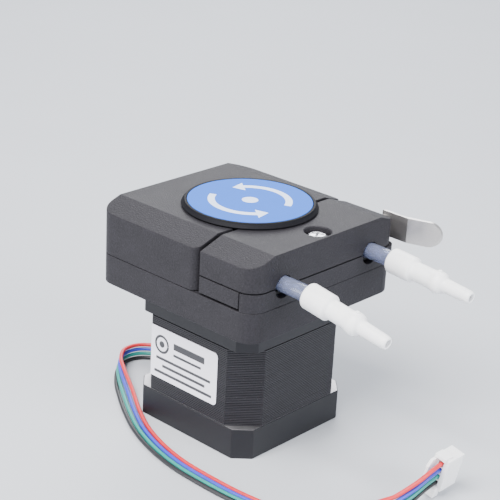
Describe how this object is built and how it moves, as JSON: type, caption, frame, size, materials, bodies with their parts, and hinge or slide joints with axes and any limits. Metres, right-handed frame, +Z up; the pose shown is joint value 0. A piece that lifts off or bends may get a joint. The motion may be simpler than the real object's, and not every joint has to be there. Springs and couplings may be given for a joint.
{
  "type": "peristaltic pump",
  "caption": "Compact peristaltic pump: a square roller head with a quick-release lever and hose fittings, driven by a stepper motor with a flat wire lead.",
  "frame": {"origin": "middle of the motor's rear face, which the pump stands on", "axes": "+Z up along the shaft to the disc cap, +X the way both tube ends leave, -Y the side with the motor's label"},
  "size_m": [0.1131, 0.0713, 0.063],
  "materials": {
    "anodised": "black anodised, bare at the cut edges",
    "laminations": "black oxide on stacked sheet steel",
    "head_plastic": "fine matte grain",
    "disc_black": "semi gloss",
    "disc_blue": "satin print",
    "label": "satin film",
    "stainless": "brushed",
    "screw_steel": "zinc plated",
    "copper": "enamelled wire",
    "roller_plastic": "smooth",
    "clear_tube": "clear soft silicone",
    "fitting_plastic": "milky, slightly translucent",
    "black_plastic": "moulded",
    "wire_red": "satin insulation",
    "wire_blue": "satin insulation",
    "wire_green": "satin insulation",
    "wire_black": "satin insulation"
  },
  "bodies": {
    "pump_body": {"motor_rear_cap": "anodised", "motor_front_cap": "anodised", "motor_stator_stack": "laminations", "motor_label": "label", "motor_screw_1": "screw_steel", "motor_screw_2": "screw_steel", "motor_screw_3": "screw_steel", "motor_screw_4": "screw_steel", "base_screw_1": "screw_steel", "base_screw_2": "screw_steel", "base_screw_3": "screw_steel", "base_screw_4": "screw_steel", "block_screw_1": "screw_steel", "block_screw_2": "screw_steel", "cover_screw": "screw_steel", "terminal_red": "screw_steel", "terminal_blue": "screw_steel", "terminal_green": "screw_steel", "terminal_black": "screw_steel", "motor_rear_bearing": "stainless", "motor_front_bearing": "stainless", "motor_preload_washer": "stainless", "lever_pin": "stainless", "motor_winding_lower": "copper", "motor_winding_upper": "copper", "lead_grommet": "black_plastic", "tube_collar_front": "black_plastic", "tube_collar_rear": "black_plastic", "head_base": "head_plastic", "front_block": "head_plastic", "cassette_cover": "head_plastic", "pump_tube": "clear_tube", "hose_fitting_front": "fitting_plastic", "hose_fitting_rear": "fitting_plastic", "lead_plug": "fitting_plastic", "lead_wire_red": "wire_red", "lead_wire_blue": "wire_blue", "lead_wire_green": "wire_green", "lead_wire_black": "wire_black"},
    "rotor": {"motor_shaft": "stainless", "motor_rotor_core": "stainless", "rotor_base_plate": "black_plastic", "rotor_top_plate": "black_plastic", "roller_pin_1": "stainless", "roller_pin_2": "stainless", "roller_pin_3": "stainless", "disc_cap": "disc_black", "disc_face": "disc_blue"},
    "roller_a": {"roller_1": "roller_plastic"},
    "roller_b": {"roller_2": "roller_plastic"},
    "roller_c": {"roller_3": "roller_plastic"},
    "track": {"track_housing": "head_plastic", "slide_arm_front": "head_plastic", "slide_arm_rear": "head_plastic", "tie_pin_front": "stainless", "tie_pin_rear": "stainless"},
    "lever": {"release_lever": "stainless", "lever_hub": "screw_steel"}
  },
  "joints": [
    {"name": "rotor_spin", "type": "hinge", "parent": "pump_body", "child": "rotor", "pos_m": [0, 0, 0.055], "axis": [0, 0, 1], "continuous": true},
    {"name": "roller_a_spin", "type": "hinge", "parent": "rotor", "child": "roller_a", "pos_m": [0.00869, 0.00475, 0.0528], "axis": [0, 0, 1], "continuous": true},
    {"name": "roller_b_spin", "type": "hinge", "parent": "rotor", "child": "roller_b", "pos_m": [-0.00845, 0.00515, 0.0528], "axis": [0, 0, 1], "continuous": true},
    {"name": "roller_c_spin", "type": "hinge", "parent": "rotor", "child": "roller_c", "pos_m": [-0.00023, -0.0099, 0.0528], "axis": [0, 0, 1], "continuous": true},
    {"name": "lever_swing", "type": "hinge", "parent": "pump_body", "child": "lever", "pos_m": [0.0217, 0.0259, 0.0555], "axis": [0, 0, 1], "range_deg": [0, 45]},
    {"name": "track_slide", "type": "slide", "parent": "pump_body", "child": "track", "axis": [-1, 0, 0], "range_m": [0, 0.003]}
  ],
  "couplings": [
    {"joint": "roller_a_spin", "follows": "rotor_spin", "ratio": -3.2},
    {"joint": "roller_b_spin", "follows": "rotor_spin", "ratio": -3.2},
    {"joint": "roller_c_spin", "follows": "rotor_spin", "ratio": -3.2},
    {"joint": "lever_swing", "follows": "track_slide", "rad_per_m": 261.79}
  ]
}
